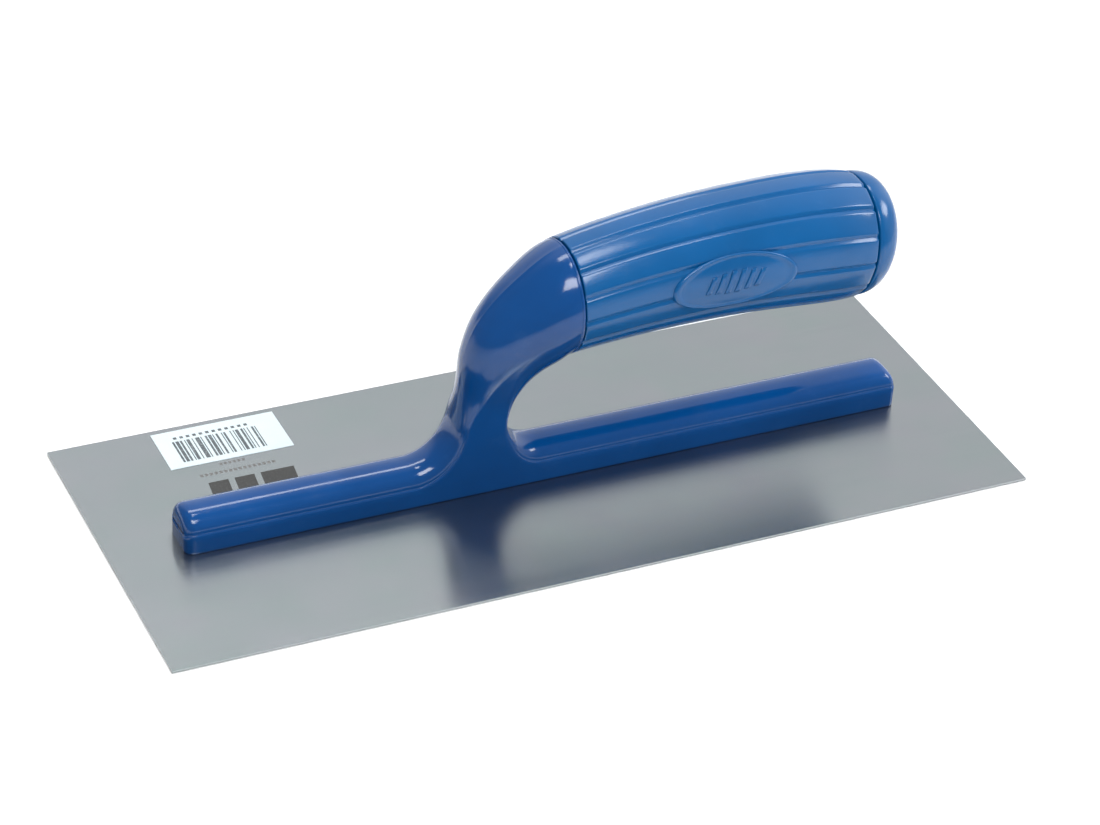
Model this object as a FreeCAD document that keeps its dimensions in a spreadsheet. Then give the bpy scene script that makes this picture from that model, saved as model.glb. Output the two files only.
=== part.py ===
import FreeCAD, Part
import math
import os

import Sketcher

# Steel finishing trowel. The origin is the centre of the blade's sole: +X runs along the blade from
# the toe, where the shank stands, to the heel, under the grip's free end; +Y runs across; +Z is up.
# All sizes are in millimetres.

doc = FreeCAD.newDocument("finishing_trowel")

# ---------------------------------------------------------------- driving dimensions

SIZES = [
    ("blade_length", 280.0, "toe edge to heel edge, 11 inch"),
    ("blade_width", 115.0, "across, 4 1/2 inch"),
    ("blade_thickness", 0.7, "tempered sheet steel"),
    ("foot_toe_x", -118.0, "toe end of the handle's foot"),
    ("foot_heel_x", 120.4, "heel end of the handle's foot"),
    ("foot_width", 15.4, "across the foot and the web of the shank"),
    ("foot_crest_z", 13.2, "top of the foot"),
    ("foot_rounding", 6.0, "rounding along the foot's upper edges"),
    ("foot_end_rounding", 1.6, "rounding round the foot's two end faces"),
    ("web_front_x", -45.6, "where the front corner arc leaves the foot's crest"),
    ("web_front_radius", 15.0, "concave corner in front of the shank"),
    ("web_front_turn", 76.0, "degrees that the front corner arc turns through"),
    ("web_rear_x", -3.4, "where the finger-side corner arc leaves the foot's crest"),
    ("web_rear_radius", 11.5, "concave corner on the finger side of the shank"),
    ("web_rear_turn", 84.0, "degrees that the finger-side corner arc turns through"),
    ("neck_sink", 6.0, "degrees of the web's corner arcs that the neck starts below their ends"),
    ("neck_lap", 0.12, "how far the neck's first section laps the web"),
    ("seam_front_x", 3.2, "vertical seam between neck and sleeve"),
    ("seam_rear_x", 100.3, "seam between sleeve and cap, on the grip's axis"),
    ("seam_rear_lean", 6.0, "degrees that the rear seam leans"),
    ("seam_chamfer", 0.5, "edge break on both sides of each seam"),
    ("grip_apex_x", 60.0, "highest point of the grip's bowed axis"),
    ("grip_apex_z", 67.0, "height of that point"),
    ("grip_bow_radius", 340.0, "radius of the bowed axis"),
    ("neck_radius", 17.5, "neck at the front seam"),
    ("sleeve_quarter_x", 28.0, "station a quarter of the way back"),
    ("sleeve_belly_x", 88.0, "fullest station"),
    ("sleeve_front_radius", 17.6, "sleeve at the front seam"),
    ("sleeve_quarter_radius", 18.7, "sleeve a quarter of the way back"),
    ("sleeve_middle_radius", 19.75, "sleeve at its middle"),
    ("sleeve_belly_radius", 20.5, "sleeve at its fullest, near the rear"),
    ("sleeve_rear_radius", 20.1, "sleeve at the rear seam, before its edge is rounded"),
    ("sleeve_edge_rounding", 1.8, "rounding of the sleeve's rear edge"),
    ("flute_count", 14.0, "V-grooves round the sleeve"),
    ("flute_depth", 0.55, "depth of a V-groove"),
    ("flute_width", 1.5, "width of a V-groove at the surface"),
    ("badge_length", 41.0, "oval badge, along the grip"),
    ("badge_height", 17.0, "oval badge, up and down"),
    ("badge_x", 51.0, "middle of the badge"),
    ("badge_z", 66.9, "middle of the badge"),
    ("badge_relief", 0.45, "how far the badge stands proud"),
    ("bore_radius", 11.0, "hollow of the sleeve"),
    ("bore_clearance", 0.1, "radial play of the spigot, plug and tang in the sleeve"),
    ("bore_z", 63.2, "height of the sleeve's bore and of the tang in it"),
    ("spigot_length", 12.0, "neck spigot inside the sleeve's bore"),
    ("partition_front_x", 80.0, "front face of the wall that the washer bears on"),
    ("partition_rear_x", 86.0, "rear face of that wall"),
    ("cap_radius", 19.2, "cap at the rear seam"),
    ("cap_depth", 10.6, "how far the cap stands past the seam"),
    ("cap_rounding", 9.4, "rounding of the cap's outer edge"),
    ("cap_plug_length", 7.0, "plug of the cap inside the sleeve"),
    ("cap_plug_wall", 2.4, "wall of that plug"),
    ("tang_diameter", 6.0, "steel rod"),
    ("tang_bend_radius", 34.0, "bend from the shank into the grip"),
    ("tang_foot_x", -23.5, "where the tang stands on the rail"),
    ("tang_end_x", 96.0, "threaded end of the tang"),
    ("washer_diameter", 18.0, "M6 wide washer"),
    ("washer_thickness", 1.6, "M6 wide washer"),
    ("nut_flats", 10.0, "M6 nut across flats"),
    ("nut_thickness", 5.0, "M6 nut"),
    ("rail_length", 226.0, "flat bar in the underside of the foot"),
    ("rail_width", 10.0, "flat bar"),
    ("rail_thickness", 3.0, "flat bar"),
    ("rivet_diameter", 4.0, "rivet shank"),
    ("rivet_sole_diameter", 5.6, "flush countersunk head at the sole"),
    ("rivet_dome_diameter", 7.0, "upset head on the rail"),
    ("rivet_dome_height", 1.6, "upset head on the rail"),
    ("rivet_pocket_diameter", 7.6, "room for the upset head in the foot"),
    ("rivet_pocket_height", 1.9, "room for the upset head in the foot"),
    ("rivet_count", 8.0, "rivets in one row"),
    ("rivet_pitch", 29.0, "from one rivet to the next"),
    ("label_length", 40.0, "sticker, along the blade"),
    ("label_width", 19.7, "sticker, across the blade"),
    ("label_thickness", 0.12, "paper with its adhesive"),
    ("label_x", -87.6, "middle of the sticker"),
    ("label_y", 45.5, "middle of the sticker"),
]

# Sections of the shank and neck between the web and the front seam. Each one spans from a point on
# the front, which becomes the top of the grip, to a point on the finger side.
NECK_SECTIONS = [
    # front x, front z, finger-side x, finger-side z, half width, corner radius
    (-29.4, 35.0, -12.4, 31.0, 8.4, 7.6),
    (-28.3, 47.0, -8.0, 36.7, 10.9, 10.2),
    (-23.4, 58.6, -4.0, 40.2, 13.6, 12.9),
    (-13.3, 69.6, 0.3, 42.8, 16.2, 14.9),
]
NECK_PARTS = ("front_x", "front_z", "back_x", "back_z", "half_width", "corner")
for number, section in enumerate(NECK_SECTIONS, start=1):
    for part, value in zip(NECK_PARTS, section):
        SIZES.append((f"neck{number}_{part}", value, f"section {number} of the neck"))

sheet = doc.addObject("Spreadsheet::Sheet", "Sizes")
for row, (alias, value, note) in enumerate(SIZES, start=1):
    sheet.set(f"A{row}", alias)
    sheet.set(f"B{row}", str(value))
    sheet.set(f"C{row}", note)
    sheet.setAlias(f"B{row}", alias)
doc.recompute()


def size(alias):
    """Value of a driving dimension."""
    return float(sheet.get(alias))


# ---------------------------------------------------------------- shared construction steps

def new_body(label):
    body = doc.addObject("PartDesign::Body", label)
    body.Label = label
    return body


def plane_of(body, role):
    """The body's own origin plane, such as XZ_Plane."""
    return next(item for item in body.Origin.OriginFeatures if item.Role == role)


def new_sketch(body, name, role):
    sketch = body.newObject("Sketcher::SketchObject", name)
    sketch.AttachmentSupport = [(plane_of(body, role), "")]
    sketch.MapMode = "FlatFace"
    return sketch


def bind(item, formulas):
    """Tie properties or named constraints of an object to formulas on the sheet."""
    for target, formula in formulas.items():
        item.setExpression(target, formula.replace("$", "Sizes."))


def named(sketch, name, *constraint):
    index = sketch.addConstraint(Sketcher.Constraint(*constraint))
    sketch.renameConstraint(index, name)


def vec(x, y, z=0.0):
    return FreeCAD.Vector(x, y, z)


def closed_outline(sketch, points):
    """Straight-sided closed outline whose corners are pinned by named X and Y constraints."""
    count = len(points)
    for index, point in enumerate(points):
        following = points[(index + 1) % count]
        sketch.addGeometry(Part.LineSegment(vec(*point), vec(*following)), False)
    for index in range(count):
        sketch.addConstraint(Sketcher.Constraint("Coincident", index, 2, (index + 1) % count, 1))
    for index, point in enumerate(points):
        named(sketch, f"x{index}", "DistanceX", -1, 1, index, 1, point[0])
        named(sketch, f"y{index}", "DistanceY", -1, 1, index, 1, point[1])


def centred_rectangle(sketch, length, width):
    """Rectangle about the sketch origin; length and width are formulas on the sheet."""
    a, b = 10.0, 5.0
    closed_outline(sketch, [(-a, -b), (a, -b), (a, b), (-a, b)])
    for index, (sx, sy) in enumerate([("-", "-"), ("", "-"), ("", ""), ("-", "")]):
        bind(sketch, {
            f"Constraints.x{index}": f"{sx}({length}) / 2",
            f"Constraints.y{index}": f"{sy}({width}) / 2",
        })


def circle_at(sketch, radius, centre_x="0", centre_y="0", name="circle"):
    """Circle whose radius and centre are formulas on the sheet."""
    index = sketch.addGeometry(Part.Circle(vec(1, 1), vec(0, 0, 1), 1.0), False)
    named(sketch, f"{name}_radius", "Radius", index, 1.0)
    named(sketch, f"{name}_x", "DistanceX", -1, 1, index, 3, 1.0)
    named(sketch, f"{name}_y", "DistanceY", -1, 1, index, 3, 1.0)
    bind(sketch, {
        f"Constraints.{name}_radius": radius,
        f"Constraints.{name}_x": centre_x,
        f"Constraints.{name}_y": centre_y,
    })


def pad(body, sketch, length, midplane=False, reverse=False, name="Pad"):
    feature = body.newObject("PartDesign::Pad", name)
    feature.Profile = sketch
    feature.Midplane = midplane
    feature.Reversed = reverse
    bind(feature, {"Length": length})
    doc.recompute()
    return feature


def pocket(body, sketch, depth, reverse=False, midplane=False, name="Pocket"):
    """Cut a pocket, and stop the build if it points away from the solid and removes nothing."""
    before = body.Shape.Volume
    feature = body.newObject("PartDesign::Pocket", name)
    feature.Profile = sketch
    feature.Reversed = reverse
    feature.Midplane = midplane
    bind(feature, {"Length": depth})
    doc.recompute()
    if not body.Shape.Volume < before - 0.01:
        raise RuntimeError(f"{name} in {body.Label} cuts nothing")
    return feature


def fillet(body, radius, edges, name="Fillet"):
    base = body.Tip
    feature = body.newObject("PartDesign::Fillet", name)
    feature.Base = (base, edges)
    bind(feature, {"Radius": radius})
    doc.recompute()
    return feature


def chamfer(body, breadth, edges, name="Chamfer"):
    base = body.Tip
    feature = body.newObject("PartDesign::Chamfer", name)
    feature.Base = (base, edges)
    bind(feature, {"Size": breadth})
    doc.recompute()
    return feature


def edges_where(body, test):
    """Names of the body's edges whose middle point and edge satisfy the test."""
    names = []
    for index, edge in enumerate(body.Shape.Edges, start=1):
        middle = edge.valueAt((edge.FirstParameter + edge.LastParameter) / 2)
        if test(middle, edge):
            names.append(f"Edge{index}")
    return names


def ring_cut(body, name, x, z, lean, outline_points, formulas):
    """Turn away a closed profile, drawn as distance along and away from a leaned axis at x, z."""
    profile = new_sketch(body, name, "XZ_Plane")
    profile.AttachmentOffset = FreeCAD.Placement(vec(0, 0), FreeCAD.Rotation(vec(0, 0, -1), 1))
    bind(profile, {
        "AttachmentOffset.Base.x": x,
        "AttachmentOffset.Base.y": z,
        "AttachmentOffset.Rotation.Angle": lean,
    })
    closed_outline(profile, outline_points)
    bind(profile, formulas)
    doc.recompute()
    before = body.Shape.Volume
    cut = body.newObject("PartDesign::Groove", f"{name}Cut")
    cut.Profile = profile
    cut.ReferenceAxis = (profile, ["H_Axis"])
    cut.Angle = 360
    doc.recompute()
    if not 0 < body.Shape.Volume < before - 0.01:
        raise RuntimeError(f"{name} in {body.Label} cuts nothing")


# ---------------------------------------------------------------- blade

blade = new_body("blade")
blade_outline = new_sketch(blade, "BladeOutline", "XY_Plane")
centred_rectangle(blade_outline, "$blade_length", "$blade_width")
pad(blade, blade_outline, "$blade_thickness", name="BladeSheet")


def rivet_x(number):
    """Formula for the X of one rivet in the row, numbered from 1."""
    return f"($foot_toe_x + $foot_heel_x) / 2 + ({number} - ($rivet_count + 1) / 2) * $rivet_pitch"


rivet_numbers = range(1, int(size("rivet_count")) + 1)

# Countersunk holes: each cone is widest at the sole and reaches the rivet's shank at the top.
for number in rivet_numbers:
    mouth = new_sketch(blade, f"RivetMouth{number}", "XY_Plane")
    circle_at(mouth, "$rivet_sole_diameter / 2", rivet_x(number))
    throat = new_sketch(blade, f"RivetThroat{number}", "XY_Plane")
    circle_at(throat, "$rivet_diameter / 2", rivet_x(number))
    bind(throat, {"AttachmentOffset.Base.z": "$blade_thickness"})
    countersink = blade.newObject("PartDesign::SubtractiveLoft", f"RivetHole{number}")
    countersink.Profile = mouth
    countersink.Sections = [throat]
    countersink.Ruled = True
doc.recompute()

# ---------------------------------------------------------------- backing rail

rail = new_body("backing_rail")
rail_outline = new_sketch(rail, "RailOutline", "XY_Plane")
centred_rectangle(rail_outline, "$rail_length", "$rail_width")
bind(rail_outline, {
    "AttachmentOffset.Base.x": "($foot_toe_x + $foot_heel_x) / 2",
    "AttachmentOffset.Base.z": "$blade_thickness",
})
pad(rail, rail_outline, "$rail_thickness", name="RailBar")
rail_holes = new_sketch(rail, "RailHoles", "XY_Plane")
for number in rivet_numbers:
    circle_at(rail_holes, "$rivet_diameter / 2", rivet_x(number), name=f"rivet{number}")
circle_at(rail_holes, "$tang_diameter / 2", "$tang_foot_x", name="tang")
pocket(rail, rail_holes, "$blade_thickness + $rail_thickness + 1", reverse=True, name="RailDrilling")

# ---------------------------------------------------------------- rivets

# One turned profile: flush head in the blade's countersink, shank, and the head upset on the rail.
for number in rivet_numbers:
    rivet = new_body(f"rivet_{number}")
    profile = new_sketch(rivet, f"RivetProfile{number}", "XZ_Plane")
    closed_outline(profile, [(0, 0), (2.8, 0), (2, 1), (2, 4), (3.5, 4), (3, 5), (1.5, 5.6), (0, 5.6)])
    rail_top = "$blade_thickness + $rail_thickness"
    bind(profile, {
        "AttachmentOffset.Base.x": rivet_x(number),
        "Constraints.x1": "$rivet_sole_diameter / 2",
        "Constraints.x2": "$rivet_diameter / 2",
        "Constraints.y2": "$blade_thickness",
        "Constraints.x3": "$rivet_diameter / 2",
        "Constraints.y3": rail_top,
        "Constraints.x4": "$rivet_dome_diameter / 2",
        "Constraints.y4": rail_top,
        "Constraints.x5": "$rivet_dome_diameter * 0.43",
        "Constraints.y5": rail_top + " + $rivet_dome_height * 0.6",
        "Constraints.x6": "$rivet_dome_diameter * 0.22",
        "Constraints.y6": rail_top + " + $rivet_dome_height",
        "Constraints.y7": rail_top + " + $rivet_dome_height",
    })
    turned = rivet.newObject("PartDesign::Revolution", f"RivetTurned{number}")
    turned.Profile = profile
    turned.ReferenceAxis = (profile, ["V_Axis"])
    turned.Angle = 360
doc.recompute()

# ---------------------------------------------------------------- handle frame

frame = new_body("handle_frame")
half_width = size("foot_width") / 2
crest = size("foot_crest_z")
front_turn = math.radians(size("web_front_turn"))
rear_turn = math.radians(size("web_rear_turn"))

# Side outline of the foot and of the web that carries the shank, cut off where the shank's own
# sections begin. Both corner arcs are tangent to the crest of the foot.
front_top = (
    size("web_front_x") + size("web_front_radius") * math.sin(front_turn),
    crest + size("web_front_radius") * (1 - math.cos(front_turn)),
)
rear_top = (
    size("web_rear_x") - size("web_rear_radius") * math.sin(rear_turn),
    crest + size("web_rear_radius") * (1 - math.cos(rear_turn)),
)
outline = new_sketch(frame, "FootAndWeb", "XZ_Plane")
corners = [
    (size("foot_toe_x"), size("blade_thickness")),
    (size("foot_heel_x"), size("blade_thickness")),
    (size("foot_heel_x"), crest),
    (size("web_rear_x"), crest),
    rear_top,
    front_top,
    (size("web_front_x"), crest),
    (size("foot_toe_x"), crest),
]
ARC_SIDES = {3: "rear", 5: "front"}
for index, corner in enumerate(corners):
    following = corners[(index + 1) % len(corners)]
    side = ARC_SIDES.get(index)
    if side is None:
        outline.addGeometry(Part.LineSegment(vec(*corner), vec(*following)), False)
        continue
    centre = vec(size(f"web_{side}_x"), crest + size(f"web_{side}_radius"))
    circle = Part.Circle(centre, vec(0, 0, 1), size(f"web_{side}_radius"))
    turn = rear_turn if side == "rear" else front_turn
    first = -math.pi / 2 - turn if side == "rear" else -math.pi / 2
    outline.addGeometry(Part.ArcOfCircle(circle, first, first + turn), False)
START, END = 1, 2
joins = [(0, END, 1, START), (1, END, 2, START), (2, END, 3, END), (3, START, 4, START),
         (4, END, 5, END), (5, START, 6, START), (6, END, 7, START), (7, END, 0, START)]
for join in joins:
    outline.addConstraint(Sketcher.Constraint("Coincident", *join))
outline.addConstraint(Sketcher.Constraint("Vertical", 1))
outline.addConstraint(Sketcher.Constraint("Vertical", 7))
for flat in (0, 2, 6):
    outline.addConstraint(Sketcher.Constraint("Horizontal", flat))
named(outline, "toe", "DistanceX", -1, 1, 0, START, corners[0][0])
named(outline, "heel", "DistanceX", -1, 1, 1, START, corners[1][0])
named(outline, "underside", "DistanceY", -1, 1, 0, START, corners[0][1])
named(outline, "crest", "DistanceY", -1, 1, 2, START, crest)
named(outline, "crest_toe", "DistanceY", -1, 1, 6, START, crest)
for arc, side in ARC_SIDES.items():
    foot_end = END if side == "rear" else START
    top = rear_top if side == "rear" else front_top
    named(outline, f"{side}_x", "DistanceX", -1, 1, arc, foot_end, size(f"web_{side}_x"))
    named(outline, f"{side}_radius", "Radius", arc, size(f"web_{side}_radius"))
    named(outline, f"{side}_centre", "DistanceX", -1, 1, arc, 3, size(f"web_{side}_x"))
    named(outline, f"{side}_top", "DistanceY", -1, 1, arc, START if side == "rear" else END, top[1])
bind(outline, {
    "Constraints.toe": "$foot_toe_x",
    "Constraints.heel": "$foot_heel_x",
    "Constraints.underside": "$blade_thickness",
    "Constraints.crest": "$foot_crest_z",
    "Constraints.crest_toe": "$foot_crest_z",
})
for side in ("front", "rear"):
    bind(outline, {
        f"Constraints.{side}_x": f"$web_{side}_x",
        f"Constraints.{side}_centre": f"$web_{side}_x",
        f"Constraints.{side}_radius": f"$web_{side}_radius",
        f"Constraints.{side}_top": f"$foot_crest_z + $web_{side}_radius * (1 - cos($web_{side}_turn * 1 deg))",
    })
doc.recompute()
pad(frame, outline, "$foot_width", midplane=True, name="FootBar")


def on_top_side_edge(middle, edge):
    """Edges of the outline's crest and corner arcs, on either side face of the bar."""
    on_side = abs(abs(middle.y) - half_width) < 0.01
    inside_ends = size("foot_toe_x") + 1 < middle.x < size("foot_heel_x") - 1
    on_cut = edge.Curve.TypeId == "Part::GeomLine" and middle.z > crest + 5
    return on_side and inside_ends and middle.z > crest - 0.01 and not on_cut


fillet(frame, "$foot_rounding", edges_where(frame, on_top_side_edge), name="FootRounding")


def on_end_face(middle, edge):
    """Edges round the toe and heel end faces, apart from the ones on the blade."""
    at_end = any(abs(middle.x - size(end)) < 0.01 for end in ("foot_toe_x", "foot_heel_x"))
    return at_end and middle.z > size("blade_thickness") + 0.1


fillet(frame, "$foot_end_rounding", edges_where(frame, on_end_face), name="FootEndRounding")


def leaned_sketch(body, name, x, z, lean, forward):
    """Sketch across the grip: its middle at x, z and its upper edge leaned by a positive angle."""
    sketch = new_sketch(body, name, "YZ_Plane")
    axis = vec(1, 0, 0) if forward else vec(-1, 0, 0)
    sketch.AttachmentOffset = FreeCAD.Placement(vec(0, 0), FreeCAD.Rotation(axis, 1))
    bind(sketch, {
        "AttachmentOffset.Base.y": z,
        "AttachmentOffset.Base.z": x,
        "AttachmentOffset.Rotation.Angle": lean,
    })
    return sketch


def rounded_rectangle(sketch, half_height, half_breadth, corner):
    """Rounded rectangle about the sketch origin, made of four lines and four tangent arcs."""
    a, b, r = 9.0, 8.0, 6.0
    sides = [((b, r - a), (b, a - r)), ((b - r, a), (r - b, a)),
             ((-b, a - r), (-b, r - a)), ((r - b, -a), (b - r, -a))]
    centres = [(b - r, a - r), (r - b, a - r), (r - b, r - a), (b - r, r - a)]
    for side, centre, first in zip(sides, centres, (0.0, 0.5, 1.0, 1.5)):
        sketch.addGeometry(Part.LineSegment(vec(*side[0]), vec(*side[1])), False)
        circle = Part.Circle(vec(*centre), vec(0, 0, 1), r)
        arc = Part.ArcOfCircle(circle, first * math.pi, (first + 0.5) * math.pi)
        sketch.addGeometry(arc, False)
    for index in range(0, 8, 2):
        sketch.addConstraint(Sketcher.Constraint("Tangent", index, END, index + 1, START))
        sketch.addConstraint(Sketcher.Constraint("Tangent", index + 1, END, (index + 2) % 8, START))
    for upright, level in ((0, 2), (4, 6)):
        sketch.addConstraint(Sketcher.Constraint("Vertical", upright))
        sketch.addConstraint(Sketcher.Constraint("Horizontal", level))
    for arc in (3, 5, 7):
        sketch.addConstraint(Sketcher.Constraint("Equal", 1, arc))
    sketch.addConstraint(Sketcher.Constraint("Symmetric", 0, START, 4, START, -1, 1))
    named(sketch, "corner", "Radius", 1, r)
    named(sketch, "right", "DistanceX", -1, 1, 0, START, b)
    named(sketch, "top", "DistanceY", -1, 1, 2, START, a)
    bind(sketch, {
        "Constraints.corner": corner,
        "Constraints.right": half_breadth,
        "Constraints.top": half_height,
    })


def neck_section(number, front_x, front_z, back_x, back_z, half_breadth, corner):
    """Section of the neck that spans from a front point to a finger-side point."""
    along_x = f"({front_x} - {back_x})"
    along_z = f"({front_z} - {back_z})"
    sketch = leaned_sketch(
        frame, f"NeckSection{number}",
        x=f"({front_x} + {back_x}) / 2",
        z=f"({front_z} + {back_z}) / 2",
        lean=f"atan2(-{along_x}; {along_z})",
        forward=False,
    )
    rounded_rectangle(sketch, f"sqrt({along_x}^2 + {along_z}^2) / 2", half_breadth, corner)
    return sketch


def web_side(side, sign, lap):
    """Formulas for a point a little below the end of a corner arc of the web, and just outside it."""
    turn = f"(($web_{side}_turn - $neck_sink) * 1 deg)"
    x = f"($web_{side}_x {sign} $web_{side}_radius * sin{turn} {lap} $neck_lap)"
    z = f"($foot_crest_z + $web_{side}_radius * (1 - cos{turn}))"
    return x, z


# The first section is sunk into the web and laps it by a hair, so that the two join cleanly.
neck_sketches = [neck_section(
    0, *web_side("front", "+", "-"), *web_side("rear", "-", "+"),
    "$foot_width / 2 + $neck_lap", "$foot_rounding",
)]
for number in range(1, len(NECK_SECTIONS) + 1):
    neck_sketches.append(neck_section(number, *(f"$neck{number}_{part}" for part in NECK_PARTS)))


def axis_z(x):
    """Formula for the height of the grip's bowed axis at an X."""
    return f"($grip_apex_z - $grip_bow_radius + sqrt($grip_bow_radius^2 - ({x} - $grip_apex_x)^2))"


seam_section = leaned_sketch(
    frame, "NeckSeam", x="$seam_front_x", z=axis_z("$seam_front_x"), lean="0 deg", forward=False,
)
rounded_rectangle(seam_section, "$neck_radius", "$neck_radius", "$neck_radius - 0.3")
doc.recompute()

neck = frame.newObject("PartDesign::AdditiveLoft", "Neck")
neck.Profile = neck_sketches[0]
neck.Sections = neck_sketches[1:] + [seam_section]
neck.Ruled = False
doc.recompute()

ring_cut(
    frame, "NeckSeamEdge", "$seam_front_x", axis_z("$seam_front_x"), "0 deg",
    [(-0.6, 17.6), (0, 17), (1, 17), (1, 21), (-0.6, 21)],
    {
        "Constraints.x0": "-$seam_chamfer",
        "Constraints.y0": "$neck_radius + 0.15",
        "Constraints.y1": "$neck_radius - $seam_chamfer",
        "Constraints.y2": "$neck_radius - $seam_chamfer",
        "Constraints.y3": "$neck_radius + 4",
        "Constraints.x4": "-$seam_chamfer",
        "Constraints.y4": "$neck_radius + 4",
    },
)

spigot = new_sketch(frame, "SpigotSection", "YZ_Plane")
bind(spigot, {"AttachmentOffset.Base.z": "$seam_front_x"})
circle_at(spigot, "$bore_radius - $bore_clearance", "0", "$bore_z")
pad(frame, spigot, "$spigot_length", name="Spigot")

rail_seat = new_sketch(frame, "RailSeat", "XY_Plane")
centred_rectangle(rail_seat, "$rail_length", "$rail_width")
bind(rail_seat, {
    "AttachmentOffset.Base.x": "($foot_toe_x + $foot_heel_x) / 2",
    "AttachmentOffset.Base.z": "$blade_thickness",
})
pocket(frame, rail_seat, "$rail_thickness", reverse=True, name="RailRecess")

rivet_pockets = new_sketch(frame, "RivetPockets", "XY_Plane")
bind(rivet_pockets, {"AttachmentOffset.Base.z": "$blade_thickness + $rail_thickness"})
for number in rivet_numbers:
    circle_at(rivet_pockets, "$rivet_pocket_diameter / 2", rivet_x(number), name=f"rivet{number}")
pocket(frame, rivet_pockets, "$rivet_pocket_height", reverse=True, name="RivetRecesses")


# ---------------------------------------------------------------- tang

def tang_sweep(body, kind):
    """Sweep the tang's round section up the shank, round one bend and back along the bore."""
    x, z, r = size("tang_foot_x"), size("bore_z"), size("tang_bend_radius")
    start_z = size("blade_thickness")
    path = new_sketch(body, f"TangPath_{body.Label}", "XZ_Plane")
    bend = Part.Circle(vec(x + r, z - r), vec(0, 0, 1), r)
    path.addGeometry(Part.LineSegment(vec(x, start_z), vec(x, z - r)), False)
    path.addGeometry(Part.ArcOfCircle(bend, math.pi / 2, math.pi), False)
    path.addGeometry(Part.LineSegment(vec(x + r, z), vec(size("tang_end_x"), z)), False)
    path.addConstraint(Sketcher.Constraint("Tangent", 0, END, 1, END))
    path.addConstraint(Sketcher.Constraint("Tangent", 1, START, 2, START))
    path.addConstraint(Sketcher.Constraint("Vertical", 0))
    path.addConstraint(Sketcher.Constraint("Horizontal", 2))
    named(path, "foot_x", "DistanceX", -1, 1, 0, START, x)
    named(path, "foot_z", "DistanceY", -1, 1, 0, START, start_z)
    named(path, "bend", "Radius", 1, r)
    named(path, "end_x", "DistanceX", -1, 1, 2, END, size("tang_end_x"))
    named(path, "end_z", "DistanceY", -1, 1, 2, END, z)
    bind(path, {
        "Constraints.foot_x": "$tang_foot_x",
        "Constraints.foot_z": "$blade_thickness",
        "Constraints.bend": "$tang_bend_radius",
        "Constraints.end_x": "$tang_end_x",
        "Constraints.end_z": "$bore_z",
    })
    section = new_sketch(body, f"TangSection_{body.Label}", "XY_Plane")
    bind(section, {"AttachmentOffset.Base.z": "$blade_thickness"})
    circle_at(section, "$tang_diameter / 2", "$tang_foot_x")
    doc.recompute()
    sweep = body.newObject(f"PartDesign::{kind}", f"TangSweep_{body.Label}")
    sweep.Profile = section
    sweep.Spine = path
    doc.recompute()
    return sweep


tang = new_body("tang")
tang_sweep(tang, "AdditivePipe")
tang_sweep(frame, "SubtractivePipe")

# ---------------------------------------------------------------- grip sleeve

SLEEVE_STATIONS = [
    # X on the axis, radius
    ("$seam_front_x", "$sleeve_front_radius"),
    ("$sleeve_quarter_x", "$sleeve_quarter_radius"),
    ("$grip_apex_x", "$sleeve_middle_radius"),
    ("$sleeve_belly_x", "$sleeve_belly_radius"),
    ("$seam_rear_x", "$sleeve_rear_radius"),
]


def axis_lean(x):
    """Formula for the angle, always positive, between the grip's bowed axis and the X axis."""
    return f"asin(abs({x} - $grip_apex_x) / $grip_bow_radius)"


def barrel(body, growth="0"):
    """Loft of circles along the bowed axis, each larger than the sleeve by a growth formula."""
    circles = []
    for number, (x, radius) in enumerate(SLEEVE_STATIONS, start=1):
        lean = "0 deg" if number == 1 else axis_lean(x)
        if number == len(SLEEVE_STATIONS):
            lean = "$seam_rear_lean * 1 deg"
        circle = leaned_sketch(
            body, f"Barrel{number}_{body.Label}", x=x, z=axis_z(x), lean=lean, forward=number > 3,
        )
        circle_at(circle, f"{radius} + {growth}")
        circles.append(circle)
    doc.recompute()
    loft = body.newObject("PartDesign::AdditiveLoft", f"Barrel_{body.Label}")
    loft.Profile = circles[0]
    loft.Sections = circles[1:]
    doc.recompute()


shell = new_body("sleeve_shell")
barrel(shell)

ring_cut(
    shell, "SleeveFrontEdge", "$seam_front_x", axis_z("$seam_front_x"), "0 deg",
    [(-1, 17), (0, 17), (1, 18), (1, 19), (-1, 19)],
    {
        "Constraints.y0": "$sleeve_front_radius - $seam_chamfer",
        "Constraints.y1": "$sleeve_front_radius - $seam_chamfer",
        "Constraints.x2": "$seam_chamfer * 1.5",
        "Constraints.y2": "$sleeve_front_radius + $seam_chamfer * 0.5",
        "Constraints.x3": "$seam_chamfer * 1.5",
        "Constraints.y3": "$sleeve_front_radius + 1",
        "Constraints.y4": "$sleeve_front_radius + 1",
    },
)
ring_cut(
    shell, "SleeveRearEdge", "$seam_rear_x", axis_z("$seam_rear_x"), "$seam_rear_lean * 1 deg",
    [(1, 17), (0, 17), (-0.7, 19), (-2, 20), (-2, 22), (1, 22)],
    {
        "Constraints.y0": "$sleeve_rear_radius - $sleeve_edge_rounding * 0.8",
        "Constraints.y1": "$sleeve_rear_radius - $sleeve_edge_rounding * 0.8",
        "Constraints.x2": "-$sleeve_edge_rounding * 0.35",
        "Constraints.y2": "$sleeve_rear_radius - $sleeve_edge_rounding * 0.3",
        "Constraints.x3": "-$sleeve_edge_rounding * 1.5",
        "Constraints.y3": "$sleeve_rear_radius + 0.2",
        "Constraints.x4": "-$sleeve_edge_rounding * 1.5",
        "Constraints.y4": "$sleeve_rear_radius + 2",
        "Constraints.y5": "$sleeve_rear_radius + 2",
    },
)

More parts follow.
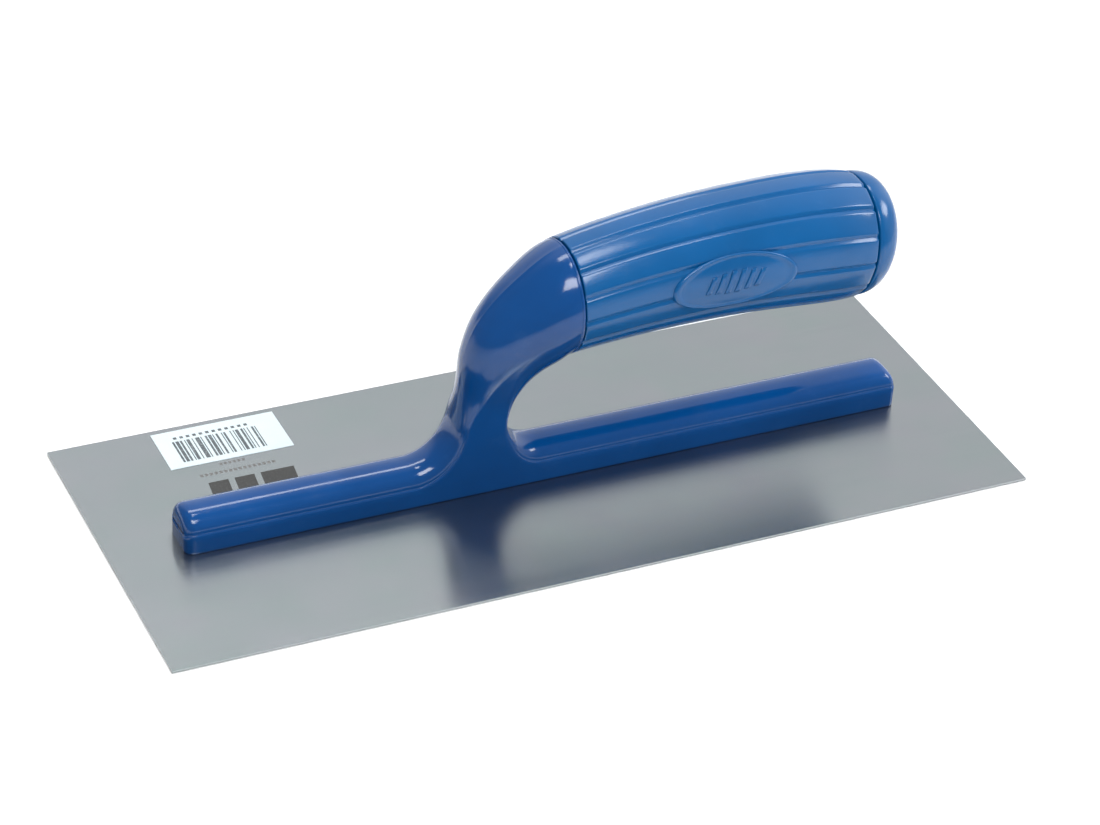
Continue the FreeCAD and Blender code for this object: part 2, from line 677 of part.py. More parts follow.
# The hollow of the sleeve, with a wall across it that the washer bears on.
ring_cut(
    shell, "SleeveBore", "0 mm", "$bore_z", "0 deg",
    [(2, 0), (2, 11), (80, 11), (80, 3), (86, 3), (86, 11), (105, 11), (105, 0)],
    {
        "Constraints.x0": "$seam_front_x - 1",
        "Constraints.x1": "$seam_front_x - 1",
        "Constraints.y1": "$bore_radius",
        "Constraints.x2": "$partition_front_x",
        "Constraints.y2": "$bore_radius",
        "Constraints.x3": "$partition_front_x",
        "Constraints.y3": "$tang_diameter / 2 + $bore_clearance",
        "Constraints.x4": "$partition_rear_x",
        "Constraints.y4": "$tang_diameter / 2 + $bore_clearance",
        "Constraints.x5": "$partition_rear_x",
        "Constraints.y5": "$bore_radius",
        "Constraints.x6": "$seam_rear_x + 4",
        "Constraints.y6": "$bore_radius",
        "Constraints.x7": "$seam_rear_x + 4",
    },
)

# V-grooves along the sleeve, evenly spaced round the bowed axis so that one panel faces straight up.
# They bow with the axis and spread with the radius, so each cutter is a loft of triangles set out
# from the sheet's sizes.


def station_frame(x, radius):
    """Middle, outward direction in the grip's upright plane, and radius at one X of the axis."""
    lean = math.asin((x - size("grip_apex_x")) / size("grip_bow_radius"))
    z = size("grip_apex_z") - size("grip_bow_radius") * (1 - math.cos(lean))
    return vec(x, 0, z), vec(math.sin(lean), 0, math.cos(lean)), radius


def flute_cutter(angle, stations):
    """Solid V along the sleeve at one angle from the top, from a triangle at each station."""
    triangles = []
    for middle, up, radius in stations:
        outward = up * math.cos(angle) + vec(0, 1, 0) * math.sin(angle)
        sideways = up * -math.sin(angle) + vec(0, 1, 0) * math.cos(angle)
        mouth = size("flute_width") * (0.5 + 1 / 3)
        lip = middle + outward * (radius + size("flute_depth") * 2 / 3)
        root = middle + outward * (radius - size("flute_depth"))
        triangles.append(Part.makePolygon([lip - sideways * mouth, root, lip + sideways * mouth,
                                           lip - sideways * mouth]))
    return Part.makeLoft(triangles, True, False)


front_lead = station_frame(size("seam_front_x") - 4, size("sleeve_front_radius") - 0.1)
rear_lead = station_frame(size("seam_rear_x") + 4, size("sleeve_rear_radius") - 0.5)
stations = [front_lead]
for x_alias, radius_alias in (
    ("seam_front_x", "sleeve_front_radius"),
    ("sleeve_quarter_x", "sleeve_quarter_radius"),
    ("grip_apex_x", "sleeve_middle_radius"),
    ("sleeve_belly_x", "sleeve_belly_radius"),
    ("seam_rear_x", "sleeve_rear_radius"),
):
    stations.append(station_frame(size(x_alias), size(radius_alias)))
stations.append(rear_lead)
flute_step = 2 * math.pi / size("flute_count")
cutters = doc.addObject("Part::Feature", "flute_cutters")
cutters.Shape = Part.makeCompound(
    [flute_cutter((number + 0.5) * flute_step, stations) for number in range(int(size("flute_count")))]
)
fluted = doc.addObject("Part::Cut", "fluted_shell")
fluted.Base = shell
fluted.Tool = cutters

# Oval badge on the -Y side: the part of a slightly fatter barrel that lies inside an elliptic prism.
blank = new_body("badge_blank")
barrel(blank, "$badge_relief")
badge_outline = doc.addObject("Part::Ellipse", "badge_outline")
badge_outline.Placement = FreeCAD.Placement(vec(0, 0), FreeCAD.Rotation(vec(1, 0, 0), 90))
bind(badge_outline, {
    "MajorRadius": "$badge_length / 2",
    "MinorRadius": "$badge_height / 2",
    "Placement.Base.x": "$badge_x",
    "Placement.Base.y": "-$bore_radius - 2",
    "Placement.Base.z": "$badge_z",
})
badge_prism = doc.addObject("Part::Extrusion", "badge_prism")
badge_prism.Base = badge_outline
badge_prism.Dir = vec(0, -1, 0)
badge_prism.Solid = True
bind(badge_prism, {"LengthFwd": "$sleeve_belly_radius"})
badge = doc.addObject("Part::Common", "badge")
badge.Base = blank
badge.Tool = badge_prism
sleeve = doc.addObject("Part::Fuse", "grip_sleeve")
sleeve.Base = fluted
sleeve.Tool = badge
doc.recompute()

# ---------------------------------------------------------------- end cap

cap = new_body("end_cap")
cap_disc = leaned_sketch(
    cap, "CapDisc", x="$seam_rear_x", z=axis_z("$seam_rear_x"),
    lean="$seam_rear_lean * 1 deg", forward=True,
)
circle_at(cap_disc, "$cap_radius")
cap_dome = pad(cap, cap_disc, "$cap_depth", name="CapDome")
cap_dome.UseCustomVector = True
cap_dome.Direction = vec(1, 0, 0)
cap_dome.AlongSketchNormal = True
doc.recompute()


def on_cap_face(rear):
    """Test for the rim of the cap's outer face (rear) or of its face on the sleeve."""
    middle_x = size("seam_rear_x") + size("cap_depth") / 2
    return lambda middle, edge: edge.Length > 60 and (edge.CenterOfMass.x > middle_x) == rear


round_rims = [edge for edge in edges_where(cap, on_cap_face(True))
              if cap.Shape.Edges[int(edge[4:]) - 1].Curve.TypeId == "Part::GeomCircle"]
fillet(cap, "$cap_rounding", round_rims, name="CapRounding")
seam_rims = [edge for edge in edges_where(cap, on_cap_face(False))
             if cap.Shape.Edges[int(edge[4:]) - 1].Curve.TypeId == "Part::GeomCircle"]
chamfer(cap, "$seam_chamfer", seam_rims, name="CapSeamEdge")
plug = new_sketch(cap, "CapPlug", "YZ_Plane")
bind(plug, {"AttachmentOffset.Base.z": "$seam_rear_x - $cap_plug_length"})
circle_at(plug, "$bore_radius - $bore_clearance", "0", "$bore_z", name="outside")
circle_at(plug, "$bore_radius - $cap_plug_wall", "0", "$bore_z", name="inside")
pad(cap, plug, "$cap_plug_length + $seam_rear_lean * 0.5", name="CapPlugTube")

# ---------------------------------------------------------------- washer and nut on the tang

washer = doc.addObject("Part::Cut", "tang_washer")
washer_disc = doc.addObject("Part::Cylinder", "washer_disc")
washer_hole = doc.addObject("Part::Cylinder", "washer_hole")
nut = doc.addObject("Part::Cut", "tang_nut")
nut_block = doc.addObject("Part::Prism", "nut_block")
nut_hole = doc.addObject("Part::Cylinder", "nut_hole")
along_grip = FreeCAD.Rotation(vec(0, 1, 0), 90)
WASHER_X = "$partition_rear_x"
NUT_X = "$partition_rear_x + $washer_thickness"
for solid, face_x in ((washer_disc, WASHER_X), (washer_hole, WASHER_X), (nut_block, NUT_X), (nut_hole, NUT_X)):
    solid.Placement = FreeCAD.Placement(vec(0, 0), along_grip)
    bind(solid, {"Placement.Base.x": face_x, "Placement.Base.z": "$bore_z"})
bind(washer_disc, {"Radius": "$washer_diameter / 2", "Height": "$washer_thickness"})
bind(washer_hole, {"Radius": "$tang_diameter / 2 + $bore_clearance", "Height": "$washer_thickness"})
nut_block.Polygon = 6
bind(nut_block, {"Circumradius": "$nut_flats / sqrt(3)", "Height": "$nut_thickness"})
bind(nut_hole, {"Radius": "$tang_diameter / 2", "Height": "$nut_thickness"})
washer.Base, washer.Tool = washer_disc, washer_hole
nut.Base, nut.Tool = nut_block, nut_hole

# ---------------------------------------------------------------- sticker on the blade

label = new_body("price_label")
label_outline = new_sketch(label, "LabelOutline", "XY_Plane")
centred_rectangle(label_outline, "$label_length", "$label_width")
bind(label_outline, {
    "AttachmentOffset.Base.x": "$label_x",
    "AttachmentOffset.Base.y": "$label_y",
    "AttachmentOffset.Base.z": "$blade_thickness",
})
pad(label, label_outline, "$label_thickness", name="LabelPaper")
doc.recompute()

# ---------------------------------------------------------------- checks and export

NODES = [blade, rail, frame, tang, sleeve, cap, washer, nut, label]
NODES += [doc.getObject(f"rivet_{number}") for number in rivet_numbers]

broken = [item.Name for item in doc.Objects if {"Invalid", "Error"} & set(item.State)]
if broken:
    raise RuntimeError(f"failed objects: {broken}")
for node in NODES:
    shape = node.Shape
    if shape.isNull() or not shape.isValid() or len(shape.Solids) != 1:
        raise RuntimeError(f"{node.Label} is not one valid solid")
    print(f"{node.Label:14s} {shape.Volume:10.1f} mm3")

os.makedirs("parts", exist_ok=True)
for node in NODES:
    node.Shape.exportStep(f"parts/{node.Label}.step")
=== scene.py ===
import math

import bmesh
import bpy
import numpy as np
from mathutils import Matrix, Vector


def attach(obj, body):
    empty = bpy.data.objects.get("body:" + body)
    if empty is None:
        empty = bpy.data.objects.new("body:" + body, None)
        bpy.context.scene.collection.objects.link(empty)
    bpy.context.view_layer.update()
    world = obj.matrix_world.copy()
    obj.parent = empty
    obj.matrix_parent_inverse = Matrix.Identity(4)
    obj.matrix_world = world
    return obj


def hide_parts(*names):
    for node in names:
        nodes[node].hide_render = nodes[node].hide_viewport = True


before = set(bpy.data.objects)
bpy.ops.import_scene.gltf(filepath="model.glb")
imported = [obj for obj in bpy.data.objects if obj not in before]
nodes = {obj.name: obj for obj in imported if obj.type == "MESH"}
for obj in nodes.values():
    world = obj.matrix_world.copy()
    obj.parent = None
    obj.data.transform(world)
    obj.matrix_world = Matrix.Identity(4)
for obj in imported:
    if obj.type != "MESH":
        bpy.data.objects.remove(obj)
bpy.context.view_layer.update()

# ---------------------------------------------------------------------------------------------
# Blade. One flat sheet of tempered steel, rolled and then ground lengthwise, so its bright satin
# face carries a fine grain along the tool and a faint oily bloom. The rivets hold it from below.

STEEL_TINT = (0.338, 0.366, 0.376)
STEEL_ROUGHNESS = 0.21
BLADE_GRAIN = 0.000002     # depth of the ground lines, in metres
GRAIN_STRETCH = 0.78       # how far the grain draws out what the steel mirrors


def new_finish(name):
    """Empty node material: returns it, its node tree and its shader."""
    finish = bpy.data.materials.new(name)
    finish.use_nodes = True
    tree = finish.node_tree
    shader = next(item for item in tree.nodes if item.type == "BSDF_PRINCIPLED")
    return finish, tree, shader


def add(tree, kind, links=None, **settings):
    """Node of a kind, with inputs set from plain values or joined to other nodes' outputs."""
    item = tree.nodes.new("ShaderNode" + kind)
    for key, value in settings.items():
        setattr(item, key, value)
    for socket, value in (links or {}).items():
        if isinstance(value, bpy.types.NodeSocket):
            tree.links.new(value, item.inputs[socket])
        else:
            item.inputs[socket].default_value = value
    return item


def object_place(tree, stretch=(1, 1, 1), turn=(0, 0, 0)):
    """Object coordinates, stretched and turned by a Mapping node."""
    where = add(tree, "TexCoord").outputs["Object"]
    return add(tree, "Mapping", {"Vector": where, "Scale": stretch, "Rotation": turn}).outputs[0]


def clouds(tree, place, scale, detail=3.0, roughness=0.55):
    """Soft noise between 0 and 1 at a scale in lumps per metre."""
    return add(tree, "TexNoise", {
        "Vector": place, "Scale": scale, "Detail": detail, "Roughness": roughness,
    }).outputs["Fac"]


def span(tree, value, low, high, to_low, to_high):
    """Carries a value from one range to another and holds it at the ends."""
    return add(tree, "MapRange", {
        "Value": value, "From Min": low, "From Max": high, "To Min": to_low, "To Max": to_high,
    }).outputs[0]


def blend(tree, share, first, second, mode="MIX"):
    """Colour that goes from the first to the second as the share goes from 0 to 1."""
    item = add(tree, "Mix", data_type="RGBA", blend_type=mode)
    given = ((item.inputs[0], share), (item.inputs[6], first), (item.inputs[7], second))
    for socket, value in given:
        if isinstance(value, bpy.types.NodeSocket):
            tree.links.new(value, socket)
        elif isinstance(value, tuple):
            socket.default_value = (*value, 1.0)
        else:
            socket.default_value = value
    return item.outputs[2]


def bumps(tree, shader, layers):
    """Stacks bump layers, each a height value with its depth in metres, onto the shader's normal."""
    normal = None
    for height, depth in layers:
        item = add(tree, "Bump", {"Height": height, "Strength": 1.0, "Distance": depth})
        if normal is not None:
            tree.links.new(normal, item.inputs["Normal"])
        normal = item.outputs[0]
    tree.links.new(normal, shader.inputs["Normal"])


def ground_steel(name, tint, roughness, grain_depth):
    """Bright steel with a grain along X, which blurs what it mirrors more across than along."""
    finish, tree, shader = new_finish(name)
    grain = clouds(tree, object_place(tree, (14, 900, 900)), 1.0, 4.0, 0.6)
    hairs = clouds(tree, object_place(tree, (45, 4200, 4200)), 1.0, 2.0, 0.5)
    bloom = clouds(tree, object_place(tree, (1, 1.3, 1)), 24.0, 3.0, 0.6)
    stain = clouds(tree, object_place(tree, (1, 1.2, 1), (0, 0, 0.4)), 34.0, 4.0, 0.6)
    mottled = blend(tree, span(tree, bloom, 0.35, 0.65, 0, 1),
                    tuple(np.multiply(tint, (0.97, 1.02, 0.99))),
                    tuple(np.multiply(tint, (1.05, 0.995, 1.03))))
    mottled = blend(tree, span(tree, stain, 0.35, 0.75, 0, 0.6), mottled,
                    tuple(np.multiply(tint, (0.93, 0.95, 0.96))))
    lined = blend(tree, span(tree, grain, 0.3, 0.7, 0.0, 0.5), mottled,
                  tuple(np.multiply(tint, (1.045, 1.045, 1.045))))
    lined = blend(tree, span(tree, hairs, 0.64, 0.8, 0.0, 0.35), lined,
                  tuple(np.multiply(tint, (0.84, 0.84, 0.84))))
    tree.links.new(lined, shader.inputs["Base Color"])
    rough = add(tree, "Math", {
        0: span(tree, grain, 0.3, 0.7, roughness * 0.94, roughness * 1.06),
        1: span(tree, bloom, 0.3, 0.7, 0.0, 0.03),
    }, operation="ADD").outputs[0]
    tree.links.new(rough, shader.inputs["Roughness"])
    bumps(tree, shader, [(hairs, grain_depth), (grain, grain_depth * 2)])
    shader.inputs["Metallic"].default_value = 1.0
    shader.inputs["Anisotropic"].default_value = GRAIN_STRETCH
    along = add(tree, "Tangent", direction_type="RADIAL", axis="X")
    tree.links.new(along.outputs[0], shader.inputs["Tangent"])
    return finish


def paint(node, finish):
    """Gives a node of the frame its finish in every slot."""
    slots = nodes[node].data.materials
    if not slots:
        slots.append(finish)
    for index in range(len(slots)):
        slots[index] = finish


paint("blade", ground_steel("Ground_Blade_Steel", STEEL_TINT, STEEL_ROUGHNESS, BLADE_GRAIN))

# ---------------------------------------------------------------------------------------------
# Backing rail and rivets. A flat mild steel bar lies inside the foot, and eight steel rivets run
# up through the blade into it. Only their countersunk heads show, ground flush with the sole.

RIVET_COUNT = 8
RAIL_TINT, RAIL_ROUGHNESS, RAIL_GRAIN = (0.30, 0.30, 0.31), 0.42, 0.00001

paint("backing_rail", ground_steel("Rail_Bar_Steel", RAIL_TINT, RAIL_ROUGHNESS, RAIL_GRAIN))


def ground_rivet(name):
    """Rivet steel ground with the sole: dull, with turning marks and a darker stained rim."""
    finish, tree, shader = new_finish(name)
    grain = clouds(tree, object_place(tree, (60, 1500, 1500)), 1.0, 3.0, 0.6)
    stain = clouds(tree, object_place(tree), 420.0, 3.0, 0.6)
    colour = blend(tree, span(tree, stain, 0.4, 0.65, 0, 1),
                   (0.36, 0.36, 0.36), (0.2, 0.19, 0.18))
    colour = blend(tree, span(tree, grain, 0.35, 0.7, 0, 0.6), colour, (0.44, 0.44, 0.45))
    tree.links.new(colour, shader.inputs["Base Color"])
    tree.links.new(span(tree, stain, 0.3, 0.7, 0.26, 0.5), shader.inputs["Roughness"])
    bumps(tree, shader, [(grain, 0.00001)])
    shader.inputs["Metallic"].default_value = 1.0
    return finish


rivet_steel = ground_rivet("Ground_Rivet_Steel")
for number in range(1, RIVET_COUNT + 1):
    paint(f"rivet_{number}", rivet_steel)

# ---------------------------------------------------------------------------------------------
# Handle frame. One moulding of glossy blue plastic: a long foot that covers the rail, a flat web
# rising from it in two corner curves, and a shank that swells and bends back into the round neck.

CREST = 13.2            # top of the foot
BASE = 0.7              # face of the blade
FOOT_TOE, FOOT_HEEL = -118.0, 120.4
FOOT_HALF = 7.7
FOOT_ARCH = 5.9         # depth of the rounded top over the foot's upright walls
LEDGE = 0.28            # step between wall and rounded top
LEDGE_DROP = 0.35
FRONT_X, FRONT_R, FRONT_TURN = -45.6, 15.0, math.radians(76.0)
REAR_X, REAR_R, REAR_TURN = -3.4, 11.5, math.radians(84.0)
REAR_ARCH = 5.2
TOE_ROUND_TOP, TOE_ROUND_SIDE = 3.2, 3.0        # rolled edge of the foot's ends
HEEL_ROUND_TOP, HEEL_ROUND_SIDE = 4.4, 1.8
RIDGE = 0.07            # height of the raised mould line along the neck's crest
RIDGE_COLUMNS = np.array([0.0, 0.16, 0.34])     # its places out from the middle
RIDGE_SHARE = np.array([1.0, 0.8, 0.0])
NECK_HALF = 17.5        # half width where the neck meets the sleeve
WELD = 1e-6             # metres
SEAM_X = 1.9
SEAM_TOP, SEAM_BOTTOM = 79.36, 44.56


def mm(points):
    """Millimetres to metres."""
    return np.asarray(points, float) * 0.001


def piece_from(name, patches, finish):
    """One closed mesh from grids of points in millimetres: neighbouring points of each grid make
    its faces, grids are welded where their edges meet, and faces are turned outwards."""
    points, faces, count = [], [], 0
    for patch in patches:
        rows, columns = patch.shape[:2]
        index = np.arange(rows * columns).reshape(rows, columns) + count
        around_face = [index[:-1, :-1], index[1:, :-1], index[1:, 1:], index[:-1, 1:]]
        faces.append(np.stack(around_face, -1).reshape(-1, 4))
        points.append(patch.reshape(-1, 3))
        count += rows * columns
    mesh = bpy.data.meshes.new(name)
    mesh.from_pydata(mm(np.concatenate(points)).tolist(), [], np.concatenate(faces).tolist())
    shell = bmesh.new()
    shell.from_mesh(mesh)
    bmesh.ops.remove_doubles(shell, verts=shell.verts, dist=WELD)
    bmesh.ops.dissolve_degenerate(shell, edges=shell.edges, dist=WELD)
    bmesh.ops.recalc_face_normals(shell, faces=shell.faces)
    if shell.calc_volume(signed=True) < 0:
        bmesh.ops.reverse_faces(shell, faces=shell.faces)
    shell.to_mesh(mesh)
    shell.free()
    mesh.shade_smooth()
    mesh.materials.append(finish)
    piece = bpy.data.objects.new(name, mesh)
    bpy.context.scene.collection.objects.link(piece)
    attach(piece, "root")
    return piece


def both_sides(patches):
    """The same grids with Y turned round added to them."""
    return patches + [patch * (1, -1, 1) for patch in patches]


def through(knots, place):
    """Smooth curve through rows of knots 1, 2, 3...: a cubic in each span whose slope at a knot is
    half the step between its two neighbours; the first and last rows only steer the ends."""
    knots = np.asarray(knots, float)
    span_number = np.clip(np.floor(place).astype(int), 0, len(knots) - 4)
    t = (place - span_number)[:, None]
    a, b, c, d = (knots[span_number + k] for k in range(4))
    return 0.5 * (2 * b + (c - a) * t + (2 * a - 5 * b + 4 * c - d) * t**2
                  + (3 * b - a - 3 * c + d) * t**3)


def ease(value, low, high):
    """0 below the low value, 1 above the high one, and a smooth S between."""
    t = np.clip((value - low) / (high - low), 0, 1)
    return t * t * (3 - 2 * t)


def glossy_blue(name, deep, lit, roughness):
    """Moulded plastic: cloudy pigment, fine orange peel, rubbed patches and a few hair scratches."""
    finish, tree, shader = new_finish(name)
    place = object_place(tree)
    cloud = clouds(tree, place, 26.0, 3.0, 0.55)
    rub = clouds(tree, object_place(tree, (1, 1, 1), (0.4, 0.2, 0.9)), 90.0, 5.0, 0.65)
    peel = clouds(tree, place, 900.0, 2.0, 0.5)
    scratch_place = object_place(tree, (60, 1600, 900), (0.5, 0.3, 0.5))
    scratches = clouds(tree, scratch_place, 1.0, 2.0, 0.5)
    colour = blend(tree, span(tree, cloud, 0.3, 0.7, 0, 1), deep, lit)
    colour = blend(tree, span(tree, rub, 0.58, 0.8, 0, 0.16), colour,
                   tuple(np.add(lit, (0.04, 0.05, 0.05))))
    tree.links.new(colour, shader.inputs["Base Color"])
    rough = add(tree, "Math", {
        0: span(tree, rub, 0.45, 0.8, roughness, roughness + 0.09),
        1: span(tree, scratches, 0.68, 0.8, 0.0, 0.12),
    }, operation="ADD").outputs[0]
    tree.links.new(rough, shader.inputs["Roughness"])
    bumps(tree, shader, [(peel, 0.000006), (scratches, 0.000008), (cloud, 0.00012)])
    shader.inputs["IOR"].default_value = 1.47
    return finish


frame_blue = glossy_blue("Frame_Blue_Plastic",
                         (0.0005, 0.0455, 0.180), (0.001, 0.0570, 0.222), 0.1)

# Rows of the shank and neck, each from a point on the front outline to one on the finger side:
# front x and z, back x and z, half width, and how much of each half is rounded at front and back.
front_end = (FRONT_X + FRONT_R * math.sin(FRONT_TURN),
             CREST + FRONT_R * (1 - math.cos(FRONT_TURN)))
rear_end = (REAR_X - REAR_R * math.sin(REAR_TURN),
            CREST + REAR_R * (1 - math.cos(REAR_TURN)))
neck_rows = np.array([
    [*front_end, *rear_end, FOOT_HALF, 0.24, 0.16],
    [-29.4, 35.0, -12.4, 31.0, 8.4, 0.62, 0.45],
    [-28.3, 47.0, -8.0, 36.7, 10.9, 0.86, 0.80],
    [-23.5, 58.7, -4.0, 40.2, 13.6, 0.97, 0.95],
    [-13.3, 69.7, 0.2, 42.8, 16.2, 1.0, 1.0],
    [SEAM_X, SEAM_TOP, SEAM_X, SEAM_BOTTOM, NECK_HALF, 1.0, 1.0],
])
# Two more rows steer the curve's ends: one back down the corner arcs, one on into the grip.
ARC_STEP, REAR_STEP_SHARE = 10.5, 0.75
GRIP_STEP = np.array([17.5, 5.2, 2.8, 1.3])
steer_in = neck_rows[1].copy()
steer_in[:4] -= 2 * ARC_STEP * np.array([
    math.cos(FRONT_TURN), math.sin(FRONT_TURN),
    -REAR_STEP_SHARE * math.cos(REAR_TURN), REAR_STEP_SHARE * math.sin(REAR_TURN),
])
steer_out = neck_rows[-2].copy()
steer_out[:4] += 2 * GRIP_STEP

# Rows of the whole shank: first the two corner arcs together, then the neck.
ARC_ROWS, NECK_STEPS = 22, 70
share = np.linspace(0, 1, ARC_ROWS)[:-1]
front_angle, rear_angle = share * FRONT_TURN, share * REAR_TURN
arc_rows = np.stack([
    FRONT_X + FRONT_R * np.sin(front_angle), CREST + FRONT_R * (1 - np.cos(front_angle)),
    REAR_X - REAR_R * np.sin(rear_angle), CREST + REAR_R * (1 - np.cos(rear_angle)),
    np.full_like(share, FOOT_HALF),
], 1)
neck_place = np.linspace(0, len(neck_rows) - 1, NECK_STEPS)
neck_curve = through(np.vstack([steer_in, neck_rows, steer_out]), neck_place)
rows = np.vstack([arc_rows, neck_curve[:, :5]])
front_point, back_point, half_width = rows[:, 0:2], rows[:, 2:4], rows[:, 4]
across = back_point - front_point
length = np.linalg.norm(across, axis=1)
across = across / length[:, None]
ends_share = np.clip(neck_curve[:, 5:7], 0, 1) * length[len(share):, None] / 2
front_depth = np.concatenate([
    FOOT_ARCH + (ends_share[0, 0] - FOOT_ARCH) * ease(share, 0.0, 1.0), ends_share[:, 0]])
back_depth = np.concatenate([
    REAR_ARCH + (ends_share[0, 1] - REAR_ARCH) * ease(share, 0.0, 0.8), ends_share[:, 1]])
along = np.arange(len(rows)) / len(share)       # 0 at the foot, 1 where the arcs end
toward_line = ease(along, 0.55, 1.25)[:, None]
arc_in_front = np.vstack([np.stack([np.sin(front_angle), -np.cos(front_angle)], 1),
                          across[len(share):]])
arc_in_back = np.vstack([np.stack([-np.sin(rear_angle), -np.cos(rear_angle)], 1),
                         -across[len(share):]])
into_front = arc_in_front * (1 - toward_line) + across * toward_line
into_back = arc_in_back * (1 - toward_line) - across * toward_line
into_front /= np.linalg.norm(into_front, axis=1)[:, None]
into_back /= np.linalg.norm(into_back, axis=1)[:, None]
ledge = LEDGE * (1 - ease(along, 0.75, 1.3))
drop = LEDGE_DROP * (1 - ease(along, 0.75, 1.3))
parting = RIDGE * ease(along, 2.2, 3.0)

ARCH_COLUMNS, FLAT_COLUMNS = 16, 13
arch_angle = np.linspace(0, 1, ARCH_COLUMNS) * math.pi / 2


def arch_profile(width, depth, step, fall, ridge):
    """Half profile of a rounded edge as (across, inwards): a quarter ellipse from the crest line
    to the wall, a thin raised seam on the crest, and a small ledge out to the full width."""
    given = (width, depth, step, fall, ridge)
    width, depth, step, fall, ridge = (np.atleast_1d(v)[:, None] for v in given)
    y = (width - step) * np.sin(arch_angle)
    d = depth * (1 - np.cos(arch_angle))
    seam_y = np.ones_like(width) * RIDGE_COLUMNS
    seam_d = depth * (1 - np.sqrt(1 - (seam_y / (width - step)) ** 2)) - ridge * RIDGE_SHARE
    ledge_y = np.hstack([width - step * 0.85, width - step * 0.3, width])
    ledge_d = np.hstack([depth + fall * 0.15, depth + fall * 0.5, depth + fall])
    y = np.hstack([seam_y, y[:, 1:], ledge_y])
    d = np.hstack([seam_d, d[:, 1:], ledge_d])
    return y, d


def in_plane(point, direction, y, d):
    """Points at a distance d along a direction in the XZ plane, and at y across it."""
    x = point[:, 0:1] + direction[:, 0:1] * d
    z = point[:, 1:2] + direction[:, 1:2] * d
    return np.stack([x, np.broadcast_to(y, x.shape), z], -1)


front_y, front_d = arch_profile(half_width, front_depth, ledge, drop, parting)
back_y, back_d = arch_profile(half_width, back_depth, ledge, drop, 0.0)
front_band = in_plane(front_point, into_front, front_y, front_d)
back_band = in_plane(back_point, into_back, back_y, back_d)[:, ::-1]
fill = np.linspace(0, 1, FLAT_COLUMNS)[None, :, None]
flat = front_band[:, -1:] * (1 - fill) + back_band[:, :1] * fill
shank = np.concatenate([front_band[:, :-1], flat, back_band[:, 1:]], axis=1)

# The neck stops at the seam with a thin raised bead all round, then a spigot that reaches into
# the sleeve: steps along X past the seam, each with its share of the neck's size there.
SEAM_LIP = (
    (0.04, 1.0), (0.12, 1.006), (0.28, 1.0115), (0.5, 1.0135), (0.72, 1.0115), (0.9, 1.005),
    (1.02, 0.995), (1.08, 0.98), (1.08, 0.955), (1.7, 0.955), (1.7, 0.0),
)
seam_middle = np.array([SEAM_X, 0, (SEAM_TOP + SEAM_BOTTOM) / 2])
lip = [seam_middle + (shank[-1] - seam_middle) * (1, shrink, shrink) + (step, 0, 0)
       for step, shrink in SEAM_LIP]
shank = np.concatenate([shank, np.stack(lip)], axis=0)

# The foot: rounded top, ledge and upright wall carried along it, and the wall under the web.
foot_y, foot_d = arch_profile(FOOT_HALF, FOOT_ARCH, LEDGE, LEDGE_DROP, 0.0)
heel_y, heel_d = arch_profile(FOOT_HALF, REAR_ARCH, LEDGE, LEDGE_DROP, 0.0)
wall_share = np.array([0.3, 0.6, 0.85, 0.955, 0.985, 1.0])
wall_tuck = np.array([0.0, 0.0, 0.0, 0.0, 0.1, 0.3])
FOOT_STEPS, ROLL_ROWS = 34, 9


def foot_profile(y, d):
    """Half section of the foot as (y, z) from the crest down the wall to its tucked lower edge."""
    top_z = CREST - d[0]
    wall_z = top_z[-1] + (BASE - top_z[-1]) * wall_share
    return np.concatenate([y[0], FOOT_HALF - wall_tuck]), np.concatenate([top_z, wall_z])


def foot_run(y, z, inner_x, end_x, top_round, side_round):
    """Foot from the web to one end: the section carried along X, then its edge rolled in about a
    quarter turn, whose radius goes from the top one at the crest to the side one at the wall."""
    outward = math.copysign(1.0, end_x - inner_x)
    walls = len(wall_share)
    slope = np.concatenate([np.clip(y[:-walls] / FOOT_HALF, 0, 1), np.ones(walls)])
    roll = top_round + (side_round - top_round) * slope ** 2
    turn = np.linspace(0, math.pi / 2, ROLL_ROWS)[:, None]
    run = np.linspace(0, 1, FOOT_STEPS)[:, None]
    run_x = inner_x + (end_x - outward * roll - inner_x) * run
    straight = np.stack([
        run_x, np.broadcast_to(y, run_x.shape), np.broadcast_to(z, run_x.shape)], -1)
    pull = roll * (1 - np.cos(turn))
    rolled = np.stack([
        np.broadcast_to(end_x - outward * roll, pull.shape) + outward * roll * np.sin(turn),
        y - pull * slope,
        z - pull * np.sqrt(np.clip(1 - slope ** 2, 0, 1)),
    ], -1)[1:]
    rolled[..., 1] = np.maximum(rolled[..., 1], 0)
    face = rolled[-1:] * np.array([1, 0, 1])
    return np.concatenate([straight, rolled, face])


toe_y, toe_z = foot_profile(foot_y, foot_d)
back_foot_y, back_foot_z = foot_profile(heel_y, heel_d)
toe_run = foot_run(toe_y, toe_z, FRONT_X, FOOT_TOE, TOE_ROUND_TOP, TOE_ROUND_SIDE)
heel_run = foot_run(back_foot_y, back_foot_z, REAR_X, FOOT_HEEL, HEEL_ROUND_TOP, HEEL_ROUND_SIDE)
web_top = flat[0]
wall = np.concatenate([np.zeros(1), wall_share])[:, None]
tuck = np.concatenate([np.zeros(1), wall_tuck])[:, None]
wall_grid = (len(wall), FLAT_COLUMNS)
under_web = np.stack([
    np.broadcast_to(web_top[:, 0], wall_grid),
    np.broadcast_to(FOOT_HALF - tuck, wall_grid),
    web_top[:, 2] + (BASE - web_top[:, 2]) * wall,
], -1)
sole_edges = [toe_run[:, -1], heel_run[:, -1], under_web[-1]]
sole = [np.stack([edge, edge * (1, 0, 1)]) for edge in sole_edges]
handle = piece_from("handle_moulding", both_sides([shank, toe_run, heel_run, under_web] + sole),
                    frame_blue)
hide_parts("handle_frame")

